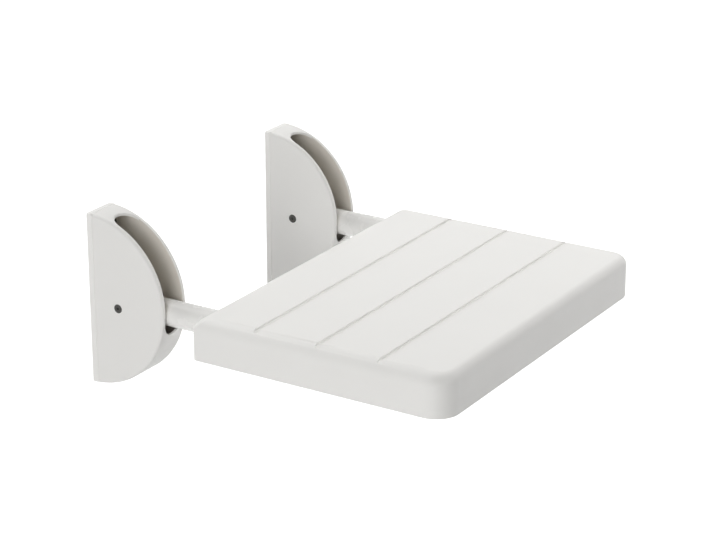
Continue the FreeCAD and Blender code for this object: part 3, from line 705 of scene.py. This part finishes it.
def make_cope_weld(out):
    """Painted weld bead round both coped ends of a cross tube, with 24 ripples."""
    beads = []
    steps, ripples = 72, 24
    for side in SIDES:
        path = bpy.data.curves.new("bead", "CURVE")
        path.dimensions = "3D"
        path.bevel_depth = 1.5
        path.bevel_resolution = 3
        line = path.splines.new("POLY")
        line.points.add(steps - 1)
        line.use_cyclic_u = True
        for step in range(steps):
            turn = 2 * math.pi * step / steps
            rise = CROSS_RADIUS * math.sin(turn)
            reach = SPACING / 2 - math.sqrt(ARM_RADIUS ** 2 - rise ** 2) - 0.3
            swell = 0.35 * math.sin(turn * ripples)
            y = -out + (CROSS_RADIUS + 0.2) * math.cos(turn)
            line.points[step].co = (side * (reach + 0.1 * swell), y, PIVOT_HEIGHT + rise, 1)
            line.points[step].radius = 1 + 0.3 * swell
        holder = bpy.data.objects.new("bead", path)
        mesh = bpy.data.meshes.new_from_object(holder)
        bead = bmesh.new()
        bead.from_mesh(mesh)
        beads.append(bead)
        bpy.data.objects.remove(holder)
        bpy.data.curves.remove(path)
        bpy.data.meshes.remove(mesh)
    return joined(beads)


def make_clamp(out):
    """Moulded saddle under an arm: a half ring and two ears with rounded corners."""
    half_length, past = 11, 30
    reach = BOSS_OFFSET + 7
    ears = block((-reach, -out - half_length, EAR_BOTTOM), (reach, -out + half_length, PIVOT_HEIGHT))
    round_edges(ears, edges_along(ears, 2), 4.0, 5)
    ring = rod(
        ARM_RADIUS + 3.6, (0, -out + half_length, PIVOT_HEIGHT), (0, -out - half_length, PIVOT_HEIGHT), 72)
    shape = carve(ears, [ring], "UNION")
    upper = block((-60, -out - past, PIVOT_HEIGHT), (60, -out + past, PIVOT_HEIGHT + 40))
    bore = rod(ARM_RADIUS + 0.1, (0, -out + past, PIVOT_HEIGHT), (0, -out - past, PIVOT_HEIGHT), 72)
    return carve(shape, [upper, bore])


def make_clamp_screws(out):
    """Hexagon heads with a pressed washer face, under the clamp's ears."""
    height, face_height = 3.0, 0.7
    screws = []
    for side in SIDES:
        x = BOSS_OFFSET * side
        head = rod(4.6, (x, -out, EAR_BOTTOM - height), (x, -out, EAR_BOTTOM), 6)
        round_edges(head, edges_in_plane(head, 2, EAR_BOTTOM - height), 0.4, 2)
        washer = rod(4.55, (x, -out, EAR_BOTTOM - face_height), (x, -out, EAR_BOTTOM), 40)
        screws.append(carve(head, [washer], "UNION"))
    return joined(screws)


def add_seat_frame():
    body = "seat"
    for side, name in NAMED_SIDES:
        finished(at_side(make_arm(), side), name + "_arm_tube", POWDER_COAT, body, [name + "_arm"])
    finished(cad_copy("hubs"), "cast_hubs", POWDER_COAT, body, ["hubs"], soften=0.6, steps=3)
    finished(both_sides(make_bush()), "pivot_bushes", ACETAL, body, ["bushes"])
    finished(both_sides(make_end_plug()), "tube_plugs", WHITE_NYLON, body, ["end_plugs"])
    for name, out in zip(("rear", "front"), CROSS_OUTS):
        node = name + "_cross_tube"
        finished(cad_copy(node), name + "_coped_tube", POWDER_COAT, body, [node])
        finished(make_cope_weld(out), name + "_cope_welds", POWDER_COAT, body, [])
    clamps = joined([make_clamp(out) for out in CLAMP_OUTS])
    finished(both_sides(clamps), "saddle_clamps", WHITE_NYLON, body, ["clamps"], soften=0.4)
    screws = joined([make_clamp_screws(out) for out in CLAMP_OUTS])
    finished(both_sides(screws), "clamp_screws", ZINC_PLATE, body, [])


# ---- seat

RIB_BOTTOM = SEAT_TOP - SEAT_WALL - 26.0
RIB_PITCH, RIB_PITCH_ACROSS = GROOVE_PITCH / 2, 0.2 * SPACING
RIB_HALF, BOSS_HALF = 1.25, 5.5
TUBE_GAP = 0.3                  # between the shell's saddles and the tubes
PAST = 5.0                      # how far a cutter runs past what it cuts


def upright_edges(shape, y):
    return [e for e in edges_along(shape, 2) if abs(e.verts[0].co.y - y) < 0.01]


def make_seat_core():
    """The hollow under the seat: a rounded block with slots that leave the ribs and the bosses."""
    half = SEAT_WIDTH / 2 - SEAT_WALL
    top = SEAT_TOP - SEAT_WALL
    front, rear = -SEAT_FRONT + SEAT_WALL, -SEAT_REAR - SEAT_WALL
    core = block((-half, front, SEAT_BOTTOM - 10), (half, rear, top))
    round_edges(core, upright_edges(core, front), FRONT_CORNER - SEAT_WALL, 14)
    round_edges(core, edges_in_plane(core, 2, top), 9.0, 6)

    high = top + PAST
    kept = []
    for number in range(-3, 4):
        y = -MIDDLE_GROOVE + number * RIB_PITCH
        kept.append(block((-half - PAST, y - RIB_HALF, RIB_BOTTOM), (half + PAST, y + RIB_HALF, high)))
    for number in (-1, 0, 1):
        x = number * RIB_PITCH_ACROSS
        kept.append(block((x - RIB_HALF, front - PAST, RIB_BOTTOM), (x + RIB_HALF, rear + PAST, high)))
    for side in SIDES:
        for out in CLAMP_OUTS:
            for hand in SIDES:
                x, y = side * SPACING / 2 + hand * BOSS_OFFSET, -out
                kept.append(block(
                    (x - BOSS_HALF, y - BOSS_HALF, PIVOT_HEIGHT), (x + BOSS_HALF, y + BOSS_HALF, high)))
    return carve(core, kept)


def groove_cutter(y):
    """A groove with rounded corners and softened lips, drawn as the solid that is cut away."""
    half, bottom = GROOVE_HALF, SEAT_TOP - GROOVE_DEPTH
    surface, above, reach = SEAT_TOP + 0.03, SEAT_TOP + 3, GROOVE_HALF + 4.2
    outline = [
        (-reach, above), (-reach, surface), (-half, surface), (-half, bottom),
        (half, bottom), (half, surface), (reach, surface), (reach, above)]
    length = SEAT_WIDTH + 20
    shape = extruded([(-length / 2, y + across, height) for across, height in outline], (length, 0, 0))
    for height, radius in ((bottom, 0.8), (surface, 1.1)):
        lip = [e for e in edges_along(shape, 0)
               if abs(abs(e.verts[0].co.y - y) - half) < 0.01 and abs(e.verts[0].co.z - height) < 0.01]
        round_edges(shape, lip, radius, 4)
    return shape


def rounded_top(shape):
    """Round the seat's top edge: generously at the sides and behind, tighter along the front."""
    weight = shape.edges.layers.float.new("bevel_weight_edge")
    for edge in edges_in_plane(shape, 2, SEAT_TOP):
        behind_front = (edge.verts[0].co.y + edge.verts[1].co.y) / 2 + SEAT_FRONT
        share = max(0.0, min(1.0, behind_front / FRONT_CORNER))
        edge[weight] = (FRONT_ROUNDING + (SIDE_ROUNDING - FRONT_ROUNDING) * share) / SIDE_ROUNDING
    rough = as_object(shape, "rough")
    step = rough.modifiers.new("round", "BEVEL")
    step.width = SIDE_ROUNDING
    step.segments = 12
    step.limit_method = "WEIGHT"
    step.use_clamp_overlap = False
    return settled(rough)


def make_seat():
    """Moulded seat: soft top edge, three grooves, skirt, ribs, saddles for the tubes."""
    half = SEAT_WIDTH / 2
    front, rear = -SEAT_FRONT, -SEAT_REAR
    shape = block((-half, front, SEAT_BOTTOM), (half, rear, SEAT_TOP))
    round_edges(shape, upright_edges(shape, front), FRONT_CORNER, 20)
    shape = rounded_top(shape)

    def at_rear_corner(edge):
        places = [v.co for v in edge.verts]
        return (min(p.y for p in places) > rear - 20 and min(abs(p.x) for p in places) > half - 20
                and max(p.z for p in places) > SEAT_BOTTOM + 1)

    round_edges(shape, sharp_edges(shape, 12, at_rear_corner), 5.0, 6, clamp=False)
    round_edges(shape, edges_in_plane(shape, 2, SEAT_BOTTOM), 0.9, 2)
    shape = carve(shape, [make_seat_core()])

    cutters = [groove_cutter(-MIDDLE_GROOVE - GROOVE_SHIFT + number * GROOVE_PITCH) for number in (-1, 0, 1)]
    low, start, reach = SEAT_BOTTOM - 20, -100, ARM_END + PLUG_HEAD + TUBE_GAP
    room = ARM_RADIUS + TUBE_GAP
    for side in SIDES:
        x = side * SPACING / 2
        cutters.append(rod(room, (x, start, PIVOT_HEIGHT), (x, -reach, PIVOT_HEIGHT), 72))
        cutters.append(block((x - room, -reach, low), (x + room, start, PIVOT_HEIGHT)))
    room = CROSS_RADIUS + TUBE_GAP
    end = SPACING / 2
    for out in CROSS_OUTS:
        cutters.append(rod(room, (-end, -out, PIVOT_HEIGHT), (end, -out, PIVOT_HEIGHT), 72))
        cutters.append(block((-end, -out - room, low), (end, -out + room, PIVOT_HEIGHT)))
    return carve(shape, cutters)


add_brackets()
add_seat_frame()
finished(make_seat(), "seat_moulding", SEAT_ABS, "seat", ["seat_shell"])
